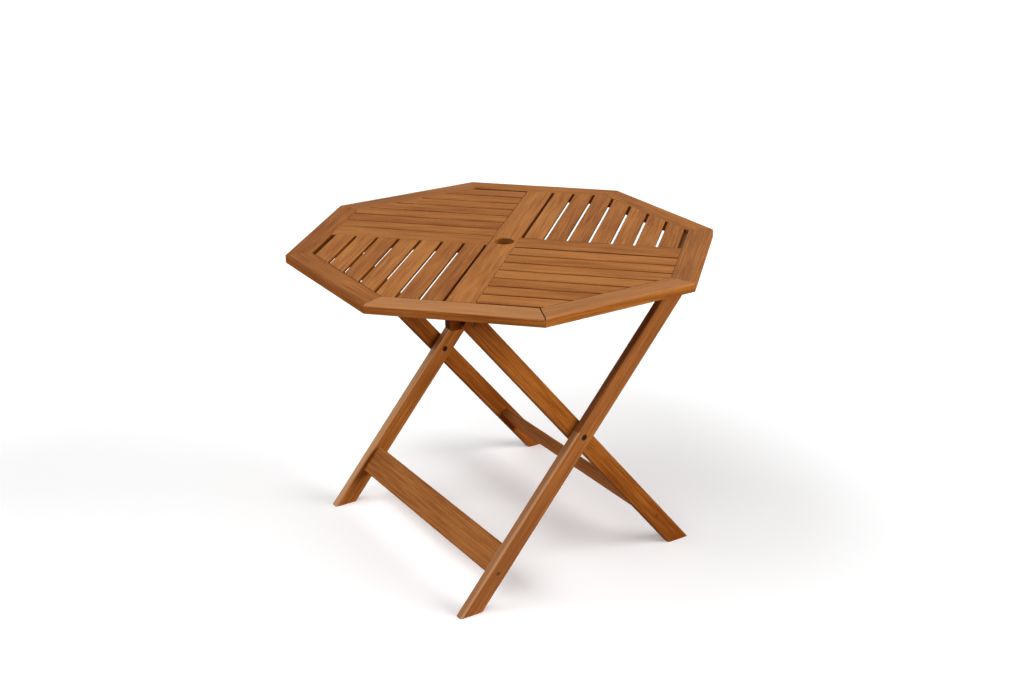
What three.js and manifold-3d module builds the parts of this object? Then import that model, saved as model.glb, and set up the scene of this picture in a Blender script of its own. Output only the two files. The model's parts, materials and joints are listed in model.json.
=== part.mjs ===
// A folding wooden patio table: an octagonal slatted top with an umbrella hole, on two crossed leg frames.
// Millimetres, +Z up. X runs along the fold axis, and the origin is on the floor under the umbrella hole.
// The tops of the hinged frame are bolted to the tabletop at -Y. The tops of the sliding frame carry pegs
// that rest at the closed ends of two grooves at +Y and run out of them as the table folds flat.

import * as THREE from 'three';
import { mergeVertices } from 'three/addons/utils/BufferGeometryUtils.js';
import Module from 'manifold-3d';

const wasm = await Module();
wasm.setup();

// Tabletop
const topHeight = 708;
const topAcrossFlats = 900;
const boardThickness = 20;
const rimWidth = 54;
const rimRoundOver = 6;
const rimCornerRadius = 10;
const crossWidth = 62;
const boardEase = 1.5;
const ledgeWidth = 13;
const slatThickness = 8;
const slatGap = 7;
const slatRimGap = 11;
const slatEase = 2.5;
const slatsPerField = 7;
const holeDiameter = 46;
const holeEase = 1.5;

// Battens and cleats under the top
const battenWidth = 20;
const battenDepth = 40;
const battenPastHinge = 44;
const battenCornerRadius = 8;
const battenEase = 1.5;
const cleatLength = 80;
const cleatPastHinge = 10;
const cleatPastBolt = 30;
const cleatCornerRadius = 10;

// Leg frames
const hingeReach = 260;
const hingeDrop = 24;
const pivotHeight = 350;
const legWidth = 44;
const legThickness = 21;
const legEase = 4;
const innerLegSpan = 560;

// Stretchers and their tenons
const stretcherBelowPivot = 291;
const stretcherWidth = 69;
const stretcherThickness = 21;
const stretcherEase = 3;
const tenonLength = 8;
const tenonThickness = 12;
const tenonShoulder = 6;

// Bolts, pegs and screws
const boltRadius = 4;
const boltHeadRadius = 6.5;
const boltRecess = 5;
const boltHeadEase = 0.8;
const socketRadius = 3;
const socketDepth = 2.5;
const pegRadius = 5;
const pegEase = 1;
const grooveDepth = 14;
const screwLength = 62;
const screwRadius = 2.3;
const screwHeadRadius = 4.5;
const screwHeadRim = 0.8;
const screwHeadCone = 2.6;
const screwPoint = 5;
const screwAboveStretcherEdge = 12;

// Clearances
const seatGap = 0.3;
const turningGap = 1;
const headGap = 0.5;
const overrun = 5;

const eighthTurn = Math.PI / 4;
const quarterTurn = Math.PI / 2;
const mitreAngle = Math.PI / 8;

const rimOuter = topAcrossFlats / 2;
const rimInner = rimOuter - rimWidth;
const rimLedge = rimInner - ledgeWidth;
const crossHalf = crossWidth / 2;
const crossLedge = crossHalf + ledgeWidth;
const slatRun = rimInner - crossHalf - slatRimGap;
const slatPitch = slatRun / slatsPerField;
const slatWidth = slatPitch - slatGap;
const ledgeTop = -slatThickness - seatGap;

const underside = topHeight - boardThickness;
const hingeHeight = underside - hingeDrop;
const legTilt = Math.atan2(hingeReach, hingeHeight - pivotHeight);
const armLength = Math.hypot(hingeReach, hingeHeight - pivotHeight);

const innerLegX = (innerLegSpan + legThickness) / 2;
const outerLegX = innerLegX + legThickness + turningGap;
const carrierStep = (legThickness + battenWidth) / 2 + turningGap;
const battenX = innerLegX - carrierStep;
const cleatX = outerLegX + carrierStep;

const woodColours = ['#a9693f', '#9c5d36', '#b0734a', '#945732', '#a5643a', '#ad6c40'];
const darkSteelColour = '#2b2624';
const zincColour = '#b9b4aa';

const table = new THREE.Group();
let woodCount = 0;

function woodMaterial() {
  const colour = woodColours[woodCount % woodColours.length];
  woodCount += 1;
  return new THREE.MeshStandardMaterial({ color: colour, roughness: 0.6, metalness: 0 });
}

function metalMaterial(colour) {
  return new THREE.MeshStandardMaterial({ color: colour, roughness: 0.4, metalness: 0.9 });
}

// A closed geometry as a solid: only positions, shared vertices merged, collapsed triangles left out.
function toSolid(geometry) {
  const bare = geometry.clone();
  bare.deleteAttribute('normal');
  bare.deleteAttribute('uv');
  const merged = mergeVertices(bare);
  const index = Array.from(merged.index.array);
  const kept = [];
  for (let i = 0; i < index.length; i += 3) {
    const [a, b, c] = index.slice(i, i + 3);
    if (a !== b && b !== c && c !== a) {
      kept.push(a, b, c);
    }
  }
  const vertProperties = new Float32Array(merged.attributes.position.array);
  const triVerts = new Uint32Array(kept);
  return new wasm.Manifold(new wasm.Mesh({ numProp: 3, vertProperties, triVerts }));
}

function toGeometry(solid) {
  const mesh = solid.getMesh();
  const geometry = new THREE.BufferGeometry();
  geometry.setAttribute('position', new THREE.BufferAttribute(mesh.vertProperties, 3));
  geometry.setIndex(new THREE.BufferAttribute(mesh.triVerts, 1));
  geometry.computeVertexNormals();
  return geometry;
}

function cutBy(geometry, cutters) {
  let solid = toSolid(geometry);
  for (const cutter of cutters) {
    solid = solid.subtract(toSolid(cutter));
  }
  return toGeometry(solid);
}

function keptInside(geometry, limit) {
  return toGeometry(toSolid(geometry).intersect(toSolid(limit)));
}

function joined(first, second) {
  return toGeometry(toSolid(first).add(toSolid(second)));
}

// A closed outline from corners of [x, y, radius]; a corner with a radius becomes an arc.
function outline(corners) {
  const shape = new THREE.Shape();
  corners.forEach(([x, y, radius], i) => {
    const corner = new THREE.Vector2(x, y);
    const [beforeX, beforeY] = corners[(i + corners.length - 1) % corners.length];
    const [afterX, afterY] = corners[(i + 1) % corners.length];
    const back = new THREE.Vector2(beforeX, beforeY).sub(corner).normalize();
    const ahead = new THREE.Vector2(afterX, afterY).sub(corner).normalize();
    if (!radius) {
      if (i === 0) {
        shape.moveTo(x, y);
      } else {
        shape.lineTo(x, y);
      }
      return;
    }
    const halfAngle = Math.acos(back.dot(ahead)) / 2;
    const setback = radius / Math.tan(halfAngle);
    const start = corner.clone().addScaledVector(back, setback);
    const end = corner.clone().addScaledVector(ahead, setback);
    const middle = back.clone().add(ahead).normalize();
    const centre = corner.clone().addScaledVector(middle, radius / Math.sin(halfAngle));
    const clockwise = back.cross(ahead) > 0;
    if (i === 0) {
      shape.moveTo(start.x, start.y);
    } else {
      shape.lineTo(start.x, start.y);
    }
    const startAngle = start.sub(centre).angle();
    const endAngle = end.sub(centre).angle();
    shape.absarc(centre.x, centre.y, radius, startAngle, endAngle, clockwise);
  });
  shape.closePath();
  return shape;
}

// An outline pushed along X about the middle. The outline's own x and y become Y and Z.
function alongX(shape, length, ease, arcSteps) {
  const geometry = new THREE.ExtrudeGeometry(shape, {
    depth: length - 2 * ease,
    curveSegments: arcSteps,
    bevelEnabled: ease > 0,
    bevelThickness: ease,
    bevelSize: ease,
    bevelOffset: -ease,
    bevelSegments: 2,
  });
  geometry.translate(0, 0, ease - length / 2);
  geometry.rotateX(quarterTurn);
  geometry.rotateZ(quarterTurn);
  return geometry;
}

// An outline pushed along Y about the middle. The outline's own x and y become X and Z.
function alongY(shape, length) {
  const geometry = new THREE.ExtrudeGeometry(shape, { depth: length, curveSegments: 1, bevelEnabled: false });
  geometry.translate(0, 0, -length / 2);
  geometry.rotateX(quarterTurn);
  return geometry;
}

// A turned piece on the X axis, from points of [place along X, radius] in rising order along X.
function turned(points, sides) {
  const profile = points.map(([along, radius]) => new THREE.Vector2(radius, along));
  const geometry = new THREE.LatheGeometry(profile, sides);
  geometry.rotateZ(-quarterTurn);
  return geometry;
}

function rod(startX, endX, radius, sides) {
  const geometry = new THREE.CylinderGeometry(radius, radius, Math.abs(endX - startX), sides);
  geometry.rotateZ(quarterTurn);
  geometry.translate((startX + endX) / 2, 0, 0);
  return geometry;
}

// A box given by its two opposite corners.
function block(low, high) {
  const size = high.map((value, i) => value - low[i]);
  const middle = high.map((value, i) => (value + low[i]) / 2);
  const geometry = new THREE.BoxGeometry(...size);
  geometry.translate(...middle);
  return geometry;
}

function place(parent, name, geometry, material, position = [0, 0, 0]) {
  const mesh = new THREE.Mesh(geometry, material);
  mesh.name = name;
  mesh.position.set(...position);
  parent.add(mesh);
}

// Tabletop boards lie below z = 0 of this group, which is the top face.
const tabletop = new THREE.Group();
tabletop.position.z = topHeight;
table.add(tabletop);

const rimNames = ['right', 'back_right', 'back', 'back_left', 'left', 'front_left', 'front', 'front_right'];

// The upright prism that the tabletop's outer edge is sanded to, an octagon with rounded corners.
function outerOctagon() {
  const reach = rimOuter / Math.cos(mitreAngle);
  const corners = [];
  for (let i = 0; i < rimNames.length; i += 1) {
    const angle = mitreAngle + i * eighthTurn;
    corners.push([reach * Math.cos(angle), reach * Math.sin(angle), rimCornerRadius]);
  }
  const height = boardThickness + 2 * overrun;
  const settings = { depth: height, curveSegments: 6, bevelEnabled: false };
  const geometry = new THREE.ExtrudeGeometry(outline(corners), settings);
  geometry.translate(0, 0, overrun - height);
  return geometry;
}

// A rim board for the side at +X. Its ends follow the mitre planes through the middle of the octagon.
function rimBoard() {
  const section = outline([
    [rimLedge, -boardThickness, 0],
    [rimOuter, -boardThickness, boardEase],
    [rimOuter, 0, rimRoundOver],
    [rimInner, 0, boardEase],
    [rimInner, ledgeTop, 0],
    [rimLedge, ledgeTop, 0],
  ]);
  const geometry = new THREE.ExtrudeGeometry(section, { depth: 1, curveSegments: 3, bevelEnabled: false });
  geometry.translate(0, 0, -0.5);
  geometry.rotateX(quarterTurn);
  const setback = seatGap / 2 / Math.cos(mitreAngle);
  const position = geometry.attributes.position;
  for (let i = 0; i < position.count; i += 1) {
    const halfLength = position.getX(i) * Math.tan(mitreAngle) - setback;
    position.setY(i, Math.sign(position.getY(i)) * halfLength);
  }
  return keptInside(geometry, outerOctagon());
}

rimNames.forEach((side, i) => {
  const turn = new THREE.Group();
  turn.rotation.z = i * eighthTurn;
  tabletop.add(turn);
  place(turn, `rim_${side}`, rimBoard(), woodMaterial());
});

// The section of the cross boards: a ledge on both sides carries the slats.
const crossSection = outline([
  [-crossLedge, -boardThickness, 0],
  [crossLedge, -boardThickness, 0],
  [crossLedge, ledgeTop, 0],
  [crossHalf, ledgeTop, 0],
  [crossHalf, 0, boardEase],
  [-crossHalf, 0, boardEase],
  [-crossHalf, ledgeTop, 0],
  [-crossLedge, ledgeTop, 0],
]);

// What a board's end loses so that its upper part laps onto the ledge it meets.
function lapCut(fromY, toY) {
  const wide = crossLedge + overrun;
  const low = [-wide, Math.min(fromY, toY), -boardThickness - overrun];
  const high = [wide, Math.max(fromY, toY), -slatThickness];
  return block(low, high);
}

function holeCutter() {
  const radius = holeDiameter / 2;
  const flared = radius + holeEase + overrun;
  const profile = [
    [-boardThickness - holeEase - overrun, 0],
    [-boardThickness - holeEase - overrun, flared + holeEase],
    [-boardThickness + holeEase, radius],
    [-holeEase, radius],
    [overrun + holeEase, flared + holeEase],
    [overrun + holeEase, 0],
  ];
  const cutter = turned(profile, 48);
  cutter.rotateY(-quarterTurn);
  return cutter;
}

const cross = new THREE.Group();
cross.rotation.z = eighthTurn;
tabletop.add(cross);

const crossEnd = rimInner - seatGap;
const shoulderEnd = rimLedge - seatGap;
const stile = cutBy(alongY(crossSection, 2 * crossEnd), [
  lapCut(shoulderEnd, crossEnd + overrun),
  lapCut(-shoulderEnd, -crossEnd - overrun),
  holeCutter(),
]);
place(cross, 'cross_stile', stile, woodMaterial());

// A cross rail, lapped onto the stile's ledge at one end and onto the rim's at the other.
function crossRail() {
  const start = crossHalf + seatGap;
  const board = alongY(crossSection, crossEnd - start);
  board.translate(0, (crossEnd + start) / 2, 0);
  return cutBy(board, [
    lapCut(start - overrun, crossLedge + seatGap),
    lapCut(shoulderEnd, crossEnd + overrun),
  ]);
}

[['front_left', quarterTurn], ['back_right', -quarterTurn]].forEach(([side, angle]) => {
  const turn = new THREE.Group();
  turn.rotation.z = angle;
  cross.add(turn);
  place(turn, `cross_rail_${side}`, crossRail(), woodMaterial());
});

// A slat runs along Y from the cross to the rim, where its end is cut to the inner octagon.
const slatSection = outline([
  [-slatWidth / 2, -slatThickness, 0],
  [slatWidth / 2, -slatThickness, 0],
  [slatWidth / 2, 0, slatEase],
  [-slatWidth / 2, 0, slatEase],
]);

function innerOctagon() {
  const corner = crossEnd / Math.cos(mitreAngle);
  const height = boardThickness + 2 * overrun;
  const geometry = new THREE.CylinderGeometry(corner, corner, height, 8, 1, false, mitreAngle);
  geometry.rotateX(quarterTurn);
  return geometry;
}

function slat(middleX) {
  const start = crossHalf + seatGap;
  const board = alongY(slatSection, rimOuter - start);
  board.translate(middleX, -(rimOuter + start) / 2, 0);
  return keptInside(board, innerOctagon());
}

['front', 'right', 'back', 'left'].forEach((side, field) => {
  const turn = new THREE.Group();
  turn.rotation.z = eighthTurn + field * quarterTurn;
  tabletop.add(turn);
  for (let i = 0; i < slatsPerField; i += 1) {
    const middleX = -(crossHalf + slatPitch * (i + 1) - slatWidth / 2);
    place(turn, `slat_${side}_${i + 1}`, slat(middleX), woodMaterial());
  }
});

// Holes shared by a bolt, a peg and the pieces that they pass through. All run along X.
function boltHole(y, z) {
  const reach = legThickness + battenWidth;
  const hole = rod(-reach, reach, boltRadius + seatGap, 24);
  hole.translate(0, y, z);
  return hole;
}

function headRecess(y, z, face, direction) {
  const recess = rod(face - direction * boltRecess, face + direction * overrun, boltHeadRadius + headGap, 24);
  recess.translate(0, y, z);
  return recess;
}

// A groove for a peg, closed by a half round at the peg's rest place and open at +Y.
function pegGroove(y, z, openY, face, direction) {
  const radius = pegRadius + seatGap;
  const shape = new THREE.Shape();
  shape.moveTo(openY + overrun, -radius);
  shape.lineTo(openY + overrun, radius);
  shape.lineTo(y, radius);
  shape.absarc(y, 0, radius, quarterTurn, 3 * quarterTurn, false);
  shape.closePath();
  const groove = alongX(shape, grooveDepth + overrun, 0, 6);
  groove.translate(face - direction * (grooveDepth - overrun) / 2, 0, z);
  return groove;
}

// Battens and cleats hang under the boards of the top.
const carrierTop = underside - seatGap;
const carrierBottom = carrierTop - battenDepth;

function carrierBlank(startY, endY, cornerRadius) {
  const shape = outline([
    [startY, carrierBottom, cornerRadius],
    [endY, carrierBottom, cornerRadius],
    [endY, carrierTop, 0],
    [startY, carrierTop, 0],
  ]);
  return alongX(shape, battenWidth, battenEase, 2);
}

// The hinge bolt's head end is in the leg, so the batten or cleat has the recess on its far face.
function hingeCuts(legSide) {
  return [
    boltHole(-hingeReach, hingeHeight),
    headRecess(-hingeReach, hingeHeight, -legSide * battenWidth / 2, -legSide),
  ];
}

const battenEnd = hingeReach + battenPastHinge;
const rightBatten = cutBy(carrierBlank(-battenEnd, battenEnd, battenCornerRadius), hingeCuts(1));
place(table, 'batten_right', rightBatten, woodMaterial(), [battenX, 0, 0]);

const leftGroove = pegGroove(hingeReach, hingeHeight, battenEnd, -battenWidth / 2, -1);
const leftBatten = cutBy(carrierBlank(-battenEnd, battenEnd, battenCornerRadius), [leftGroove]);
place(table, 'batten_left', leftBatten, woodMaterial(), [-battenX, 0, 0]);

const cleatEnd = hingeReach + cleatPastHinge;
const rightGroove = pegGroove(hingeReach, hingeHeight, cleatEnd, -battenWidth / 2, -1);
const rightCleat = cutBy(carrierBlank(cleatEnd - cleatLength, cleatEnd, cleatCornerRadius), [rightGroove]);
place(table, 'cleat_right', rightCleat, woodMaterial(), [cleatX, 0, 0]);

const boltedEnd = -hingeReach - cleatPastBolt;
const leftCleat = cutBy(carrierBlank(boltedEnd, boltedEnd + cleatLength, cleatCornerRadius), hingeCuts(1));
place(table, 'cleat_left', leftCleat, woodMaterial(), [-cleatX, 0, 0]);

// In a leg frame's group z runs up the legs from the pivot, and x is the table's own.
const stretcherTop = -stretcherBelowPivot;
const stretcherBottom = stretcherTop - stretcherWidth;
const screwZ = stretcherBottom + screwAboveStretcherEdge;

function screwPoints(clearance) {
  const shank = screwRadius + clearance;
  return [
    [-clearance, 0],
    [-clearance, screwHeadRadius + clearance],
    [screwHeadRim + clearance, screwHeadRadius + clearance],
    [screwHeadRim + screwHeadCone + clearance, shank],
    [screwLength - screwPoint, shank],
    [screwLength + clearance, 0],
  ];
}

// A stretcher screw whose head lies just inside a leg's outer face, pointing to the middle of the table.
function screwAt(face, outward, clearance) {
  const geometry = turned(screwPoints(clearance), 20);
  if (outward > 0) {
    geometry.rotateZ(Math.PI);
  }
  geometry.translate(face - outward * seatGap, 0, screwZ);
  return geometry;
}

function floorUnder(tilt) {
  const wide = legWidth + legThickness;
  const floor = block([-wide, -armLength - wide, -armLength], [wide, armLength + wide, 0]);
  floor.translate(0, 0, -pivotHeight);
  floor.rotateX(-tilt);
  return floor;
}

// A leg about its own middle in x. Its carrier is the batten or cleat that its top is joined to.
function leg({ tilt, outward, carrierSide, hinged }) {
  const half = legWidth / 2;
  const face = legThickness / 2;
  const footEnd = -pivotHeight / Math.cos(legTilt) - legWidth;
  const side = new THREE.Shape();
  side.moveTo(-half, footEnd);
  side.lineTo(half, footEnd);
  side.lineTo(half, armLength);
  side.absarc(0, armLength, half, 0, Math.PI, false);
  side.closePath();
  const blank = alongX(side, legThickness, legEase, 6);
  const inner = -outward * (face - tenonLength - seatGap);
  const beyond = -outward * (face + overrun);
  const mortise = block(
    [Math.min(inner, beyond), -tenonThickness / 2 - seatGap, stretcherBottom + tenonShoulder - seatGap],
    [Math.max(inner, beyond), tenonThickness / 2 + seatGap, stretcherTop - tenonShoulder + seatGap],
  );
  const cuts = [
    floorUnder(tilt),
    boltHole(0, 0),
    headRecess(0, 0, carrierSide * face, carrierSide),
    mortise,
    screwAt(outward * face, outward, seatGap),
  ];
  if (hinged) {
    cuts.push(boltHole(0, armLength), headRecess(0, armLength, -carrierSide * face, -carrierSide));
  } else {
    const pegHole = rod(-legThickness, legThickness, pegRadius + seatGap, 24);
    pegHole.translate(0, 0, armLength);
    cuts.push(pegHole);
  }
  return cutBy(blank, cuts);
}

// A stretcher from face to face of its legs, with a stub tenon at each end.
function stretcher(startX, endX, screws) {
  const half = stretcherThickness / 2;
  const shape = outline([
    [-half, stretcherBottom, stretcherEase],
    [half, stretcherBottom, stretcherEase],
    [half, stretcherTop, stretcherEase],
    [-half, stretcherTop, stretcherEase],
  ]);
  const board = alongX(shape, endX - startX - 2 * seatGap, 0, 2);
  board.translate((startX + endX) / 2, 0, 0);
  const tenons = block(
    [startX - tenonLength, -tenonThickness / 2, stretcherBottom + tenonShoulder],
    [endX + tenonLength, tenonThickness / 2, stretcherTop - tenonShoulder],
  );
  return cutBy(joined(board, tenons), screws);
}

// A bolt with its sleeve nut screwed home: both round heads lie just inside the recesses.
function boltPair() {
  const end = legThickness + turningGap / 2 - seatGap;
  const seat = legThickness + turningGap / 2 - boltRecess + seatGap;
  const profile = [
    [-end, 0],
    [-end, boltHeadRadius - boltHeadEase],
    [boltHeadEase - end, boltHeadRadius],
    [-seat, boltHeadRadius],
    [-seat, boltRadius],
    [seat, boltRadius],
    [seat, boltHeadRadius],
    [end - boltHeadEase, boltHeadRadius],
    [end, boltHeadRadius - boltHeadEase],
    [end, 0],
  ];
  const rightSocket = rod(end - socketDepth, end + overrun, socketRadius, 6);
  const leftSocket = rod(-end - overrun, socketDepth - end, socketRadius, 6);
  return cutBy(turned(profile, 24), [rightSocket, leftSocket]);
}

function peg(carrierSide) {
  const start = seatGap - legThickness / 2;
  const end = legThickness / 2 + turningGap + grooveDepth - seatGap;
  const points = [
    [start, 0],
    [start, pegRadius],
    [end - pegEase, pegRadius],
    [end, pegRadius - pegEase],
    [end, 0],
  ];
  const geometry = turned(points, 24);
  if (carrierSide < 0) {
    geometry.rotateZ(Math.PI);
  }
  return toGeometry(toSolid(geometry));
}

// One crossed frame: two legs, their stretcher, its screws, and a bolt or peg at each top.
function legFrame({ name, tilt, rightX, leftX, hinged }) {
  const frame = new THREE.Group();
  frame.position.z = pivotHeight;
  frame.rotation.x = tilt;
  table.add(frame);
  const sides = [
    { side: 'right', x: rightX, outward: 1 },
    { side: 'left', x: -leftX, outward: -1 },
  ];
  const screwCutters = sides.map(({ x, outward }) => {
    return screwAt(x + outward * legThickness / 2, outward, seatGap);
  });
  for (const { side, x, outward } of sides) {
    const isOuter = Math.abs(x) > innerLegX;
    const carrierSide = isOuter ? outward : -outward;
    const timber = leg({ tilt, outward, carrierSide, hinged });
    place(frame, `${name}_leg_${side}`, timber, woodMaterial(), [x, 0, 0]);
    const screw = toGeometry(toSolid(screwAt(outward * legThickness / 2, outward, 0)));
    place(frame, `${name}_stretcher_screw_${side}`, screw, metalMaterial(darkSteelColour), [x, 0, 0]);
    if (hinged) {
      const middle = x + carrierSide * (legThickness + turningGap) / 2;
      place(frame, `hinge_bolt_${side}`, boltPair(), metalMaterial(zincColour), [middle, 0, armLength]);
    } else {
      place(frame, `slide_peg_${side}`, peg(carrierSide), metalMaterial(zincColour), [x, 0, armLength]);
    }
  }
  const startX = -leftX + legThickness / 2;
  const endX = rightX - legThickness / 2;
  place(frame, `${name}_stretcher`, stretcher(startX, endX, screwCutters), woodMaterial());
}

legFrame({ name: 'sliding', tilt: -legTilt, rightX: outerLegX, leftX: innerLegX, hinged: false });
legFrame({ name: 'hinged', tilt: legTilt, rightX: innerLegX, leftX: outerLegX, hinged: true });

const pivotX = (innerLegX + outerLegX) / 2;
for (const [side, x] of [['right', pivotX], ['left', -pivotX]]) {
  place(table, `pivot_bolt_${side}`, boltPair(), metalMaterial(darkSteelColour), [x, 0, pivotHeight]);
}

export default table;
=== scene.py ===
import json
import math
import random

import bmesh
import bpy
from mathutils import Matrix, Vector


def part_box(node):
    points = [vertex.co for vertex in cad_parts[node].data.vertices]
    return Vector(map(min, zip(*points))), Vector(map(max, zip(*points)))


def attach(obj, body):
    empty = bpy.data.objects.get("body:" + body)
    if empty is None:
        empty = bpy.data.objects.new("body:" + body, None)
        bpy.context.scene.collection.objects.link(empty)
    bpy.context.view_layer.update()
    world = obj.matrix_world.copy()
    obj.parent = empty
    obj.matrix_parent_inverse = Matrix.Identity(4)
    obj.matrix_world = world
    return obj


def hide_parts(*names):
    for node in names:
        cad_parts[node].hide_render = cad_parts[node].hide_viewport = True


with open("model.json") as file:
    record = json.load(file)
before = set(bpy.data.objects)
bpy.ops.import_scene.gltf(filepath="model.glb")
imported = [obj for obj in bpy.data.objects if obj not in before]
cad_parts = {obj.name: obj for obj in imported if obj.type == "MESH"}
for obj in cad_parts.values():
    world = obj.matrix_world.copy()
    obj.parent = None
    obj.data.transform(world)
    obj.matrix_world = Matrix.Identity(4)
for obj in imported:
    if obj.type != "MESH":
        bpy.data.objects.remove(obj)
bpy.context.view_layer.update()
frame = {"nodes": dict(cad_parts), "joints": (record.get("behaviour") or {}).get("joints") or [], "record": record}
print("frame loaded:", len(frame["nodes"]), "nodes")

mm = 0.001
upDirection = Vector((0, 0, 1))
joints = {joint["name"]: joint for joint in frame["joints"]}
pivotPoint = Vector(joints["leg_pivot"]["pos_m"])
hingePoint = Vector(joints["top_hinge"]["pos_m"])
slotOf = {row["node"]: row["material_slot"] for row in frame["record"]["subparts"]}
bodyOf = {node: body for body, nodes in frame["record"]["behaviour"]["bodies"].items() for node in nodes}


# Camera

cameraSettings = {
    "place": (2.7402, -1.7079, 1.7810),
    "azimuth": 57.77,
    "elevation": 22.18,
    "roll": -0.31,
    "lens": 53.22,
    "sensorWidth": 36.0,
    "farClip": 100.0,
}


def makeCamera(values):
    azimuth = math.radians(values["azimuth"])
    elevation = math.radians(values["elevation"])
    roll = math.radians(values["roll"])
    right = Vector((math.cos(azimuth), math.sin(azimuth), 0))
    back = Vector((math.sin(azimuth) * math.cos(elevation), -math.cos(azimuth) * math.cos(elevation),
                   math.sin(elevation)))
    up = back.cross(right)
    turnedRight = right * math.cos(roll) + up * math.sin(roll)
    turnedUp = up * math.cos(roll) - right * math.sin(roll)
    data = bpy.data.cameras.new("camera")
    data.lens = values["lens"]
    data.sensor_width = values["sensorWidth"]
    data.clip_end = values["farClip"]
    camera = bpy.data.objects.new("camera", data)
    turn = Matrix((turnedRight, turnedUp, back)).transposed().to_4x4()
    camera.matrix_world = Matrix.Translation(values["place"]) @ turn
    bpy.context.scene.collection.objects.link(camera)
    bpy.context.scene.camera = camera


makeCamera(cameraSettings)
print("camera placed")


# Helpers for node trees

def addNode(tree, kind, place, inputs=None, **properties):
    node = tree.nodes.new(kind)
    node.location = place
    for name, value in properties.items():
        setattr(node, name, value)
    for name, value in (inputs or {}).items():
        node.inputs[name].default_value = value
    return node


def newMaterial(name):
    material = bpy.data.materials.new(name)
    material.use_nodes = True
    tree = material.node_tree
    tree.nodes.clear()
    shader = addNode(tree, "ShaderNodeBsdfPrincipled", (400, 0))
    output = addNode(tree, "ShaderNodeOutputMaterial", (700, 0))
    tree.links.new(shader.outputs["BSDF"], output.inputs["Surface"])
    return material, tree, shader


def newGroup(name, inputs, outputs):
    tree = bpy.data.node_groups.new(name, "ShaderNodeTree")
    for socketName, kind, value in inputs:
        socket = tree.interface.new_socket(socketName, in_out="INPUT", socket_type=kind)
        if value is not None:
            socket.default_value = value
    for socketName, kind in outputs:
        tree.interface.new_socket(socketName, in_out="OUTPUT", socket_type=kind)
    start = addNode(tree, "NodeGroupInput", (-1200, 0))
    end = addNode(tree, "NodeGroupOutput", (1500, 0))
    return tree, start, end


def colour(red, green, blue):
    # from the 0 to 255 of a picture to the shader's linear colour, by the usual sRGB curve
    def linear(value):
        share = value / 255
        return share / 12.92 if share <= 0.04045 else ((share + 0.055) / 1.055) ** 2.4
    return (linear(red), linear(green), linear(blue), 1)


# Wood grain, along x of a board's own coordinates

grainSettings = {
    "figure": {"stretch": (0.10, 1.0, 1.0), "scale": 42.0, "wander": 5.0, "detail": 3.0,
               "detailScale": 24.0, "detailRoughness": 0.55},
    "blotch": {"stretch": (5.0, 24.0, 24.0), "detail": 2.0, "roughness": 0.5},
    "streak": {"stretch": (9.0, 400.0, 400.0), "detail": 2.0, "roughness": 0.55},
    "fibre": {"stretch": (16.0, 900.0, 900.0), "detail": 3.0, "roughness": 0.6},
    "pores": {"stretch": (120.0, 2400.0, 2400.0), "detail": 1.0, "roughness": 0.4},
    "noiseRange": (0.3, 0.7),
    "blotchShift": 0.18,
    "streakShift": 0.36,
    "fibreShift": 0.16,
    "poreRange": (0.60, 0.72),
    "poreDepth": 0.45,
    "poreRoughness": 0.25,
    "wornLightness": 0.2,
    # end grain is darker, and darker still as painted shade for the shaded ends under the top
    "endGrainAndShadeDepth": 0.9,
    # painted shade: how far the faces deep in the slots and the umbrella hole are darkened
    "paintedShadeDepth": 0.5,
    "roughness": (0.36, 0.48),
    "heightRange": (0.2, 0.8),
    "fibreHeight": 0.6,
    # the colour of dark end grain and of painted shade
    "endGrainAndShadeColour": colour(44, 18, 5),
    # the pale colour of painted sheen and painted highlights
    "paintedSheenColour": colour(196, 148, 104),
}


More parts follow.
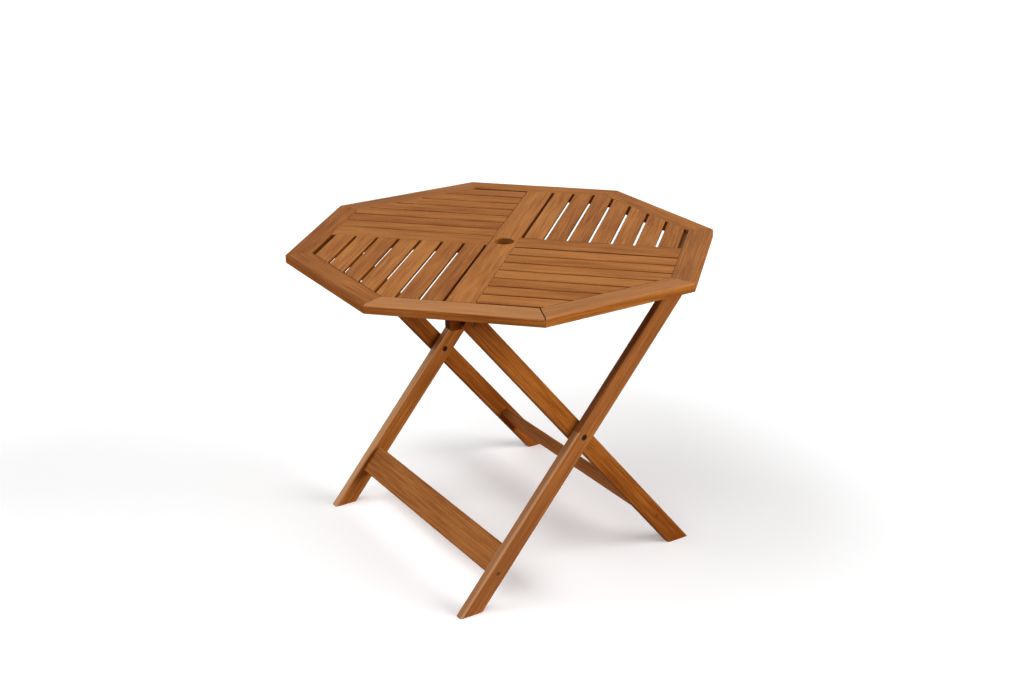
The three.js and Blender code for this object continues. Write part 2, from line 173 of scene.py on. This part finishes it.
def makeGrainGroup(values):
    tree, start, end = newGroup("boardGrain", [
        ("Place", "NodeSocketVector", None),
        ("Tone", "NodeSocketFloat", 0.0),
        ("End Grain", "NodeSocketFloat", 0.0),
        ("Worn Edge", "NodeSocketFloat", 0.0),
        ("Painted Shade", "NodeSocketFloat", 0.0),
        ("Painted Sheen", "NodeSocketFloat", 0.0),
        ("Dark", "NodeSocketColor", (0.2, 0.07, 0.02, 1)),
        ("Middle", "NodeSocketColor", (0.35, 0.13, 0.05, 1)),
        ("Light", "NodeSocketColor", (0.5, 0.22, 0.09, 1)),
        ("Figure", "NodeSocketFloat", 0.3),
    ], [("Color", "NodeSocketColor"), ("Roughness", "NodeSocketFloat"), ("Height", "NodeSocketFloat")])
    board = start.outputs
    link = tree.links.new

    def fed(node, feeds):
        # links a socket to another node, or gives it a plain value
        for socketName, value in feeds.items():
            socket = node.inputs[socketName]
            if isinstance(value, bpy.types.NodeSocket):
                link(value, socket)
            else:
                socket.default_value = value
        return node.outputs

    def stretched(name, y):
        mapping = addNode(tree, "ShaderNodeMapping", (-950, y))
        return fed(mapping, {"Scale": values[name]["stretch"], "Vector": board["Place"]})["Vector"]

    def noise(name, y):
        texture = addNode(tree, "ShaderNodeTexNoise", (-700, y), {
            "Scale": 1.0, "Detail": values[name]["detail"], "Roughness": values[name]["roughness"]})
        return fed(texture, {"Vector": stretched(name, y)})["Fac"]

    def maths(operation, first, second, place, clamp=False):
        node = addNode(tree, "ShaderNodeMath", place, operation=operation, use_clamp=clamp)
        return fed(node, {0: first, 1: second})["Value"]

    def between(value, fromRange, toRange, place):
        node = addNode(tree, "ShaderNodeMapRange", place, {
            "From Min": fromRange[0], "From Max": fromRange[1], "To Min": toRange[0], "To Max": toRange[1]})
        return fed(node, {"Value": value})["Result"]

    def shifted(value, name, y):
        reach = values[name]
        return between(value, values["noiseRange"], (-reach, reach), (-450, y))

    def mixed(share, first, second, place):
        node = addNode(tree, "ShaderNodeMix", place, data_type="RGBA")
        return fed(node, {"Factor": share, "A": first, "B": second})["Result"]

    rings = values["figure"]
    wave = addNode(tree, "ShaderNodeTexWave", (-700, 400), {
        "Scale": rings["scale"], "Distortion": rings["wander"], "Detail": rings["detail"],
        "Detail Scale": rings["detailScale"], "Detail Roughness": rings["detailRoughness"]},
        wave_type="RINGS", rings_direction="X", wave_profile="SIN")
    figure = fed(wave, {"Vector": stretched("figure", 400)})["Fac"]
    blotch = noise("blotch", 120)
    streak = noise("streak", 0)
    fibre = noise("fibre", -140)
    poreMask = between(noise("pores", -400), values["poreRange"], (0.0, 1.0), (-450, -400))

    # one number from dark to light: 0.5 is the middle colour
    figureShift = between(figure, (0, 1), (-0.5, 0.5), (-450, 400))
    figureShift = maths("MULTIPLY", figureShift, board["Figure"], (-250, 400))
    shade = maths("ADD", maths("ADD", figureShift, shifted(blotch, "blotchShift", 120), (-50, 300)),
                  maths("ADD", shifted(fibre, "fibreShift", -140), board["Tone"], (-50, 100)), (120, 200))
    shade = maths("ADD", shade, shifted(streak, "streakShift", 0), (200, 120))
    shade = maths("ADD", shade, 0.5, (280, 200), True)
    darkHalf = mixed(between(shade, (0.0, 0.5), (0.0, 1.0), (450, 500)), board["Dark"], board["Middle"], (640, 80))
    lightHalf = mixed(between(shade, (0.5, 1.0), (0.0, 1.0), (280, 500)), board["Middle"], board["Light"],
                      (640, 300))
    wood = mixed(maths("GREATER_THAN", shade, 0.5, (620, 500)), darkHalf, lightHalf, (800, 200))

    poreShade = maths("MULTIPLY", poreMask, values["poreDepth"], (640, -100))
    wood = mixed(poreShade, wood, board["Dark"], (920, 150))
    wornShare = maths("MULTIPLY", board["Worn Edge"], values["wornLightness"], (920, 400))
    wood = mixed(wornShare, wood, board["Light"], (1050, 150))
    # painted sheen and highlights mix the wood towards a pale colour
    wood = mixed(board["Painted Sheen"], wood, values["paintedSheenColour"], (1180, 150))
    # end grain is darker, in part as painted shade for ends shaded under the top; the slots and the umbrella hole
    # get painted shade
    endGrainAndPaintedShade = maths("MAXIMUM", maths("MULTIPLY", board["End Grain"], values["endGrainAndShadeDepth"], (920, -250)),
                   maths("MULTIPLY", board["Painted Shade"], values["paintedShadeDepth"], (920, -350)), (1100, -250))
    link(mixed(endGrainAndPaintedShade, wood, values["endGrainAndShadeColour"], (1310, 150)), end.inputs["Color"])

    rough = maths("ADD", between(fibre, values["noiseRange"], values["roughness"], (450, -450)),
                  maths("MULTIPLY", poreShade, values["poreRoughness"], (640, -450)), (820, -450), True)
    link(rough, end.inputs["Roughness"])
    fibreHeight = between(fibre, values["heightRange"], (0.0, values["fibreHeight"]), (450, -650))
    link(maths("SUBTRACT", fibreHeight, poreMask, (820, -650)), end.inputs["Height"])
    return tree


grainGroup = makeGrainGroup(grainSettings)

woodSettings = {
    "colours": {
        "tabletop_wood": {
            "Dark": colour(120, 62, 17),
            "Middle": colour(154, 92, 34),
            "Light": colour(180, 116, 55),
            "Figure": 0.17,
        },
        "frame_wood": {
            "Dark": colour(116, 60, 15),
            "Middle": colour(152, 90, 32),
            "Light": colour(180, 116, 53),
            "Figure": 0.20,
        },
    },
    # the marks that a dressed board carries, and where the grain takes them in
    "marks": [
        ("grainPlace", "Vector", "Place"), ("boardTone", "Fac", "Tone"), ("endGrain", "Fac", "End Grain"),
        ("wornEdge", "Fac", "Worn Edge"), ("paintedShade", "Fac", "Painted Shade"), ("paintedSheen", "Fac", "Painted Sheen"),
    ],
    "bumpDistance": 0.12 * mm,
    "bumpStrength": 0.5,
    "specular": 0.23,
}


def makeWood(slot, values):
    material, tree, shader = newMaterial(slot)
    link = tree.links.new
    grain = addNode(tree, "ShaderNodeGroup", (100, 0), node_tree=grainGroup)
    for name, value in values["colours"][slot].items():
        grain.inputs[name].default_value = value
    for i, (name, output, socket) in enumerate(values["marks"]):
        mark = addNode(tree, "ShaderNodeAttribute", (-200, 200 - 200 * i), attribute_name=name)
        link(mark.outputs[output], grain.inputs[socket])
    bump = addNode(tree, "ShaderNodeBump", (250, -300), {
        "Distance": values["bumpDistance"], "Strength": values["bumpStrength"]})
    link(grain.outputs["Height"], bump.inputs["Height"])
    link(grain.outputs["Color"], shader.inputs["Base Color"])
    link(grain.outputs["Roughness"], shader.inputs["Roughness"])
    link(bump.outputs["Normal"], shader.inputs["Normal"])
    shader.inputs["Specular IOR Level"].default_value = values["specular"]
    return material


woods = {slot: makeWood(slot, woodSettings) for slot in woodSettings["colours"]}
print("wood materials made")


# Metal

metalSettings = {
    "finishes": {
        "black_steel": {"base": colour(84, 58, 32), "metallic": 0.7, "rough": (0.35, 0.55)},
        "zinc_steel": {"base": colour(156, 122, 78), "metallic": 1.0, "rough": (0.30, 0.48)},
        "agedScrew": {"base": colour(124, 92, 50), "metallic": 0.6, "rough": (0.35, 0.55)},
    },
    "speckScale": 900.0,
    "speckDetail": 3.0,
    "speckRange": (0.3, 0.7),
}


def makeMetal(name, values):
    finish = values["finishes"][name]
    material, tree, shader = newMaterial(name)
    place = addNode(tree, "ShaderNodeTexCoord", (-700, 0))
    speck = addNode(tree, "ShaderNodeTexNoise", (-450, 0), {
        "Scale": values["speckScale"], "Detail": values["speckDetail"]})
    spread = addNode(tree, "ShaderNodeMapRange", (-200, 0), {
        "From Min": values["speckRange"][0], "From Max": values["speckRange"][1],
        "To Min": finish["rough"][0], "To Max": finish["rough"][1]})
    tree.links.new(place.outputs["Object"], speck.inputs["Vector"])
    tree.links.new(speck.outputs["Fac"], spread.inputs["Value"])
    tree.links.new(spread.outputs["Result"], shader.inputs["Roughness"])
    shader.inputs["Base Color"].default_value = finish["base"]
    shader.inputs["Metallic"].default_value = finish["metallic"]
    return material


metals = {name: makeMetal(name, metalSettings) for name in metalSettings["finishes"]}
print("metal materials made")


# Helpers for pieces

pieceSettings = {
    "flatAngle": math.radians(0.5),
    "mergeDistance": 0.005 * mm,
    "flatFaceWeight": 100,
}


def mergedCopy(node, values):
    bm = bmesh.new()
    bm.from_mesh(frame["nodes"][node].data)
    bmesh.ops.remove_doubles(bm, verts=bm.verts, dist=values["mergeDistance"])
    bmesh.ops.dissolve_limit(bm, angle_limit=values["flatAngle"], verts=bm.verts, edges=bm.edges,
                             use_dissolve_boundaries=False, delimit=set())
    return bm


def softenEdges(bm, values):
    sharp = [edge for edge in bm.edges if edge.calc_face_angle(0) > values["sharpAngle"]]
    made = bmesh.ops.bevel(bm, geom=sharp, affect="EDGES", offset=values["edgeSoftness"],
                           segments=values["edgeSegments"], profile=0.5, material=-1, clamp_overlap=True)
    return made["faces"]


def addPiece(name, bm, material, body, values):
    for face in bm.faces:
        face.smooth = True
    mesh = bpy.data.meshes.new(name)
    bm.to_mesh(mesh)
    bm.free()
    mesh.materials.append(material)
    piece = bpy.data.objects.new(name, mesh)
    bpy.context.scene.collection.objects.link(piece)
    # flat faces stay flat beside the soft edges
    modifier = piece.modifiers.new("flatFaces", "WEIGHTED_NORMAL")
    modifier.keep_sharp = True
    modifier.weight = values["flatFaceWeight"]
    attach(piece, body)
    return piece


# Boards: a merged copy of each wooden node with softened edges and grain that runs along the board

boardSettings = {
    "edgeSoftness": 0.5 * mm,
    "edgeSegments": 2,
    "sharpAngle": math.radians(38),
    "topBoards": ("rim_", "cross_", "slat_"),
    # draws each board's place in the log and each slat's tone. It was looked for among 60000 numbers,
    # as the one whose light and dark slats fall most like those measured in the photograph
    "woodDraw": 47771,
    "logLength": 9,
    "logOffset": (0.03, 0.09),
    # lighter above 0, darker below, set by comparing measured faces with the photograph
    "slatTone": 0.09,
    "slatToneSpread": 0.22,
    "tones": {
        "cross_stile": 0.17, "cross_rail_back_right": -0.05, "cross_rail_front_left": 0.10,
        "rim_right": 0.0, "rim_back_right": -0.08, "rim_back_left": 0.0, "rim_left": -0.08,
        "rim_front_left": -0.20, "rim_front": -0.10, "rim_front_right": 0.12,
        "sliding_leg_right": -0.27, "sliding_leg_left": -0.06, "hinged_leg_right": -0.09,
        "hinged_leg_left": -0.32, "sliding_stretcher": 0.12, "hinged_stretcher": 0.35,
    },
    # added at the top of a leg and taken off at its foot
    "toneSlopes": {"hinged_leg_right": 0.27, "sliding_leg_right": 0.12},
    # painted sheen on the upper faces of the top boards, and the sliding legs made paler all over
    "paintedSheenAndPaleness": {
        "rim_right": 0.2, "rim_back_right": 0.06, "rim_left": 0.08, "rim_front_right": 0.30,
        "sliding_leg_right": 0.13, "sliding_leg_left": 0.05,
    },
    # painted sheen: the narrow upper faces of the sliding legs are painted paler, and their rounded edges get a
    # painted highlight
    "paintedNarrowSheen": {"sliding_leg_right": 0.42, "sliding_leg_left": 0.9},
    "paintedEdgeHighlight": 0.75,
    # painted shadow: above this height the right sliding leg gets no sheen, so the shadow of the top is painted on
    # its upper part
    "paintedShadowAbove": {"sliding_leg_right": 365 * mm},
    # one corner joint of the rim stands a little open
    "openMitreAngle": math.radians(-22.5),
    "openMitreSoftness": 1.3 * mm,
    "openMitreDepth": 8 * mm,
    "mitreReach": 0.5 * mm,
    # how dark the mitres are on the outer edge, and the painted shade in the slots and in the umbrella hole
    "cornerShade": 0.35,
    "paintedShadeDrop": 3.0 * mm,
    "holeReach": 30 * mm,
    "holeShade": 0.55,
    # a face belongs to a kind by how far its normal leans that way
    "leans": {"endGrain": 0.6, "mitre": 0.3, "side": 0.3, "outer": 0.3, "upper": 0.5, "under": -0.5,
              "legUpper": 0.1, "legNarrow": 0.1, "legWide": 0.95},
}
acrossStile = Vector((1, 1, 0)).normalized()
alongStile = Vector((-1, 1, 0)).normalized()
alongX = Vector((1, 0, 0))
alongY = Vector((0, 1, 0))


def middleOf(node):
    low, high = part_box(node)
    return (low + high) / 2


def outwardOf(rim):
    # from the umbrella hole to the middle of a rim board
    middle = middleOf(rim)
    return Vector((middle.x, middle.y, 0)).normalized()


def boardDirections(node):
    # the direction along the board and the one through its thickness
    if node.startswith("rim_"):
        return outwardOf(node).cross(upDirection), upDirection
    if node.startswith(("cross_stile", "slat_front", "slat_back")):
        return alongStile, upDirection
    if node.startswith(("cross_rail", "slat_left", "slat_right")):
        return acrossStile, upDirection
    if node.startswith(("batten", "cleat")):
        return alongY, alongX
    hinged = (hingePoint - pivotPoint).normalized()
    legUp = hinged if node.startswith("hinged") else Vector((0, -hinged.y, hinged.z))
    if "stretcher" in node:
        return alongX, legUp.cross(alongX)
    return legUp, alongX


def openMitre(bm, values):
    # softens the upper edges of the open corner joint, on the two boards that meet there
    angle = values["openMitreAngle"]
    outward = Vector((math.cos(angle), math.sin(angle), 0))
    sideways = outward.cross(upDirection)
    high = max(vert.co.z for vert in bm.verts)

    def onMitre(vert):
        isUpper = vert.co.z > high - values["openMitreDepth"]
        return isUpper and abs(vert.co.dot(sideways)) < values["mitreReach"] and vert.co.dot(outward) > 0
    edges = [edge for edge in bm.edges
             if all(onMitre(vert) for vert in edge.verts) and edge.calc_face_angle(0) > values["sharpAngle"]]
    if not edges:
        return []
    made = bmesh.ops.bevel(bm, geom=edges, affect="EDGES", offset=values["openMitreSoftness"],
                           segments=values["edgeSegments"], profile=0.5, material=-1, clamp_overlap=False)
    return made["faces"]


def drawBoard(node, values):
    # the board's tone, and its place in the log
    draw = random.Random(f"{node} {values['woodDraw']}")
    slatDraw = draw.uniform(-values["slatToneSpread"], values["slatToneSpread"])
    tone = values["slatTone"] + slatDraw if node.startswith("slat_") else values["tones"].get(node, 0.0)
    nearLog, farLog = values["logOffset"]
    place = Vector((draw.uniform(0, values["logLength"]), draw.uniform(-nearLog, nearLog),
                    draw.uniform(nearLog, farLog)))
    return tone, place


def markGrain(bm, node, values):
    along, through = boardDirections(node)
    across = through.cross(along)
    tone, inLog = drawBoard(node, values)
    middle = middleOf(node)
    slope = values["toneSlopes"].get(node, 0.0) / (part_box(node)[1].z - middle.z)
    placeLayer = bm.verts.layers.float_vector.new("grainPlace")
    toneLayer = bm.verts.layers.float.new("boardTone")
    for vert in bm.verts:
        fromMiddle = vert.co - middle
        own = Vector((fromMiddle.dot(along), fromMiddle.dot(across), fromMiddle.dot(through)))
        vert[placeLayer] = own + inLog
        vert[toneLayer] = tone + slope * fromMiddle.z


def endGrainShare(node, normal, along, outward, values):
    leans = values["leans"]
    isRim = node.startswith("rim_")
    if abs(normal.dot(along)) <= leans["mitre" if isRim else "endGrain"]:
        return 0.0
    isOuterEdge = isRim and abs(normal.z) < leans["side"] and normal.dot(outward) > leans["outer"]
    return values["cornerShade"] if isOuterEdge else 1.0


# painted sheen on narrow leg faces, a painted highlight on their edges, painted sheen on the tops of the top
# boards
def paintedSheenShare(node, normal, height, values):
    leans = values["leans"]
    getsPaintedSheen = height < values["paintedShadowAbove"].get(node, math.inf) and normal.z > leans["legUpper"]
    hasPaintedLegSheen = node in values["paintedNarrowSheen"]
    if hasPaintedLegSheen and getsPaintedSheen and abs(normal.x) < leans["legWide"]:
        isNarrow = abs(normal.x) <= leans["legNarrow"]
        return values["paintedNarrowSheen"][node] if isNarrow else values["paintedEdgeHighlight"]
    if node.startswith(values["topBoards"]) and normal.z <= leans["upper"]:
        return 0.0
    return values["paintedSheenAndPaleness"].get(node, 0.0)


def markFaces(bm, node, worn, opened, values):
    leans = values["leans"]
    isTop = node.startswith(values["topBoards"])
    along = boardDirections(node)[0]
    outward = outwardOf(node) if node.startswith("rim_") else Vector()
    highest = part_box(node)[1].z
    endLayer = bm.faces.layers.float.new("endGrain")
    wornLayer = bm.faces.layers.float.new("wornEdge")
    paintedShadeLayer = bm.faces.layers.float.new("paintedShade")
    paintedSheenLayer = bm.faces.layers.float.new("paintedSheen")
    bm.normal_update()
    for face in bm.faces:
        normal = face.normal
        centre = face.calc_center_median()
        isDeep = centre.z < highest - values["paintedShadeDrop"]
        facesSlot = normal.z > leans["under"] and normal.dot(outward) < leans["outer"]
        shade = values["holeShade"] if isTop and centre.xy.length < values["holeReach"] else 1.0
        face[endLayer] = shade * endGrainShare(node, normal, along, outward, values)
        # painted shade on the faces deep in the slots and in the umbrella hole
        face[paintedShadeLayer] = shade if isTop and isDeep and facesSlot else 0.0
        # painted sheen and highlights, left off above the painted shadow on the right sliding leg
        face[paintedSheenLayer] = paintedSheenShare(node, normal, centre.z, values)
    for face in worn:
        if face.is_valid:
            face[wornLayer] = 1.0
    for face in opened:
        if face.is_valid:
            face[endLayer] = 1.0


def dressBoard(node, values):
    bm = mergedCopy(node, pieceSettings)
    opened = openMitre(bm, values) if node.startswith("rim_") else []
    worn = softenEdges(bm, values)
    # cut the leg where its painted shadow begins
    if node in values["paintedShadowAbove"]:
        bmesh.ops.bisect_plane(bm, geom=bm.verts[:] + bm.edges[:] + bm.faces[:],
                               dist=pieceSettings["mergeDistance"],
                               plane_co=(0, 0, values["paintedShadowAbove"][node]), plane_no=upDirection)
    markGrain(bm, node, values)
    markFaces(bm, node, worn, opened, values)
    slot = slotOf[node]
    piece = addPiece(f"{node}_board", bm, woods[slot], bodyOf[node], pieceSettings)
    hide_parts(node)


woodNodes = sorted(node for node, slot in slotOf.items() if slot.endswith("wood"))
for node in woodNodes:
    dressBoard(node, boardSettings)
print("boards dressed:", len(woodNodes))


# Hardware: merged copies with smooth round faces

hardwareSettings = {
    "edgeSoftness": 0.15 * mm,
    "edgeSegments": 2,
    "sharpAngle": math.radians(32),
}


def dressHardware(node, values):
    bm = mergedCopy(node, pieceSettings)
    softenEdges(bm, values)
    slot = slotOf[node]
    metal = metals["agedScrew"] if "screw" in node else metals[slot]
    piece = addPiece(f"{node}_metal", bm, metal, bodyOf[node], pieceSettings)
    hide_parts(node)


metalNodes = sorted(node for node, slot in slotOf.items() if slot.endswith("steel"))
for node in metalNodes:
    dressHardware(node, hardwareSettings)
print("hardware dressed:", len(metalNodes))


# Screws up into the top, with a hexagon socket in a low head: the y of each under its batten or cleat

screwSettings = {
    "headRadius": 4.2 * mm,
    "headHeight": 1.2 * mm,
    "headSoftness": 0.5 * mm,
    "headSegments": 3,
    "segments": 24,
    "socketSides": 6,
    "socketToFlat": 2.0 * mm,
    "socketDepth": 0.8 * mm,
    # a corner is on the head's upper rim from this share of its height and radius
    "rimShare": 0.99,
    "places": {
        "batten_right": (-284 * mm, -236 * mm, 236 * mm, 284 * mm),
        "batten_left": (-284 * mm, -236 * mm, 236 * mm),
        "cleat_right": (214 * mm, 240 * mm),
        "cleat_left": (-280 * mm, -240 * mm),
    },
}


def makeScrew(name, place, values):
    height, radius = values["headHeight"], values["headRadius"]
    bm = bmesh.new()
    bmesh.ops.create_circle(bm, cap_ends=True, segments=values["segments"], radius=radius)
    raised = bmesh.ops.extrude_face_region(bm, geom=bm.faces[:])
    headFace = next(item for item in raised["geom"] if isinstance(item, bmesh.types.BMFace))
    bmesh.ops.translate(bm, verts=headFace.verts, vec=(0, 0, height))
    bmesh.ops.inset_region(bm, faces=[headFace], thickness=radius - values["socketToFlat"])
    # each flat of the socket takes an equal share of the ring's corners
    flatTurn = 2 * math.pi / values["socketSides"]
    for vert in headFace.verts:
        angle = math.atan2(vert.co.y, vert.co.x)
        fromFlat = (angle + flatTurn / 2) % flatTurn - flatTurn / 2
        vert.co.xy = Vector((math.cos(angle), math.sin(angle))) * values["socketToFlat"] / math.cos(fromFlat)
    sunk = bmesh.ops.extrude_face_region(bm, geom=[headFace])
    bmesh.ops.delete(bm, geom=[headFace], context="FACES_ONLY")
    floorVerts = [item for item in sunk["geom"] if isinstance(item, bmesh.types.BMVert)]
    bmesh.ops.translate(bm, verts=floorVerts, vec=(0, 0, -values["socketDepth"]))

    def onRim(vert):
        return vert.co.z > height * values["rimShare"] and vert.co.xy.length > radius * values["rimShare"]
    rim = [edge for edge in bm.edges if all(onRim(vert) for vert in edge.verts)]
    bmesh.ops.bevel(bm, geom=rim, affect="EDGES", offset=values["headSoftness"], segments=values["headSegments"],
                    profile=0.5, material=-1, clamp_overlap=True)
    bmesh.ops.rotate(bm, verts=bm.verts, matrix=Matrix.Rotation(math.pi, 3, "X"))
    bmesh.ops.translate(bm, verts=bm.verts, vec=place)
    bmesh.ops.recalc_face_normals(bm, faces=bm.faces)
    addPiece(name, bm, metals["zinc_steel"], "tabletop", pieceSettings)


screwCount = 0
for node, ys in screwSettings["places"].items():
    for i, y in enumerate(ys):
        makeScrew(f"{node}_screw_{i + 1}", (middleOf(node).x, y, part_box(node)[0].z), screwSettings)
        screwCount += 1
print("screws made:", screwCount)


# Floor and light

stageSettings = {
    "floorSize": 60.0,
    "floorColour": (0.93, 0.93, 0.93, 1),
    "floorRoughness": 0.9,
    "floorSpecular": 0.1,
    "glowColour": (1, 1, 1, 1),
    "floorGlow": 0.10,
    "skyColour": (0.28, 0.28, 0.28, 1),
    "groundColour": (0.40, 0.207, 0.103, 1),
    "backdropColour": (1, 1, 1, 1),
    "horizonSoftness": 0.15,
    "lights": {
        "rightLight": {"towards": (0.664, 0.664, 0.342), "spread": 40, "strength": 3.2, "glossy": False},
        "frontLight": {"towards": (0.321, -0.557, 0.766), "spread": 40, "strength": 1.0, "glossy": True},
        "leftLight": {"towards": (-0.321, -0.557, 0.766), "spread": 40, "strength": 1.16, "glossy": True},
    },
}


def makeFloor(values):
    bm = bmesh.new()
    bmesh.ops.create_grid(bm, x_segments=1, y_segments=1, size=values["floorSize"] / 2)
    mesh = bpy.data.meshes.new("floor")
    bm.to_mesh(mesh)
    bm.free()
    material, tree, shader = newMaterial("floorPaper")
    shader.inputs["Base Color"].default_value = values["floorColour"]
    shader.inputs["Roughness"].default_value = values["floorRoughness"]
    shader.inputs["Specular IOR Level"].default_value = values["floorSpecular"]
    shader.inputs["Emission Color"].default_value = values["glowColour"]
    shader.inputs["Emission Strength"].default_value = values["floorGlow"]
    # seen from underneath, the floor is clear and shows the underside of the table
    side = addNode(tree, "ShaderNodeNewGeometry", (100, 300))
    clear = addNode(tree, "ShaderNodeBsdfTransparent", (400, 200))
    mix = addNode(tree, "ShaderNodeMixShader", (700, 200))
    output = next(node for node in tree.nodes if node.type == "OUTPUT_MATERIAL")
    output.location = (950, 0)
    tree.links.new(side.outputs["Backfacing"], mix.inputs[0])
    tree.links.new(shader.outputs["BSDF"], mix.inputs[1])
    tree.links.new(clear.outputs["BSDF"], mix.inputs[2])
    tree.links.new(mix.outputs["Shader"], output.inputs["Surface"])
    mesh.materials.append(material)
    floor = bpy.data.objects.new("floor", mesh)
    bpy.context.scene.collection.objects.link(floor)
    # the floor shows the shadow but throws no light back under the table
    floor.visible_diffuse = False
    floor.visible_glossy = False


def makeLight(name, values):
    data = bpy.data.lights.new(name, "SUN")
    data.angle = math.radians(values["spread"])
    data.energy = values["strength"]
    light = bpy.data.objects.new(name, data)
    light.rotation_mode = "QUATERNION"
    light.rotation_quaternion = Vector(values["towards"]).to_track_quat("Z", "Y")
    light.visible_glossy = values["glossy"]
    bpy.context.scene.collection.objects.link(light)


def makeWorld(values):
    world = bpy.data.worlds.new("studio")
    world.use_nodes = True
    tree = world.node_tree
    background = tree.nodes["Background"]
    direction = addNode(tree, "ShaderNodeTexCoord", (-900, 0))
    parts = addNode(tree, "ShaderNodeSeparateXYZ", (-700, 0))
    softness = values["horizonSoftness"]
    height = addNode(tree, "ShaderNodeMapRange", (-500, 0), {"From Min": -softness, "From Max": softness})
    mix = addNode(tree, "ShaderNodeMix", (-250, 0), {
        "A": values["groundColour"], "B": values["skyColour"]}, data_type="RGBA")
    tree.links.new(direction.outputs["Generated"], parts.inputs["Vector"])
    tree.links.new(parts.outputs["Z"], height.inputs["Value"])
    tree.links.new(height.outputs["Result"], mix.inputs["Factor"])
    # the eye sees a pale backdrop where the floor ends
    ray = addNode(tree, "ShaderNodeLightPath", (-250, 400))
    seen = addNode(tree, "ShaderNodeMix", (0, 200), {"B": values["backdropColour"]}, data_type="RGBA")
    tree.links.new(ray.outputs["Is Camera Ray"], seen.inputs["Factor"])
    tree.links.new(mix.outputs["Result"], seen.inputs["A"])
    tree.links.new(seen.outputs["Result"], background.inputs["Color"])
    bpy.context.scene.world = world


makeFloor(stageSettings)
for name, values in stageSettings["lights"].items():
    makeLight(name, values)
makeWorld(stageSettings)
bpy.context.scene.view_settings.view_transform = "Standard"
print("stage and lights made")
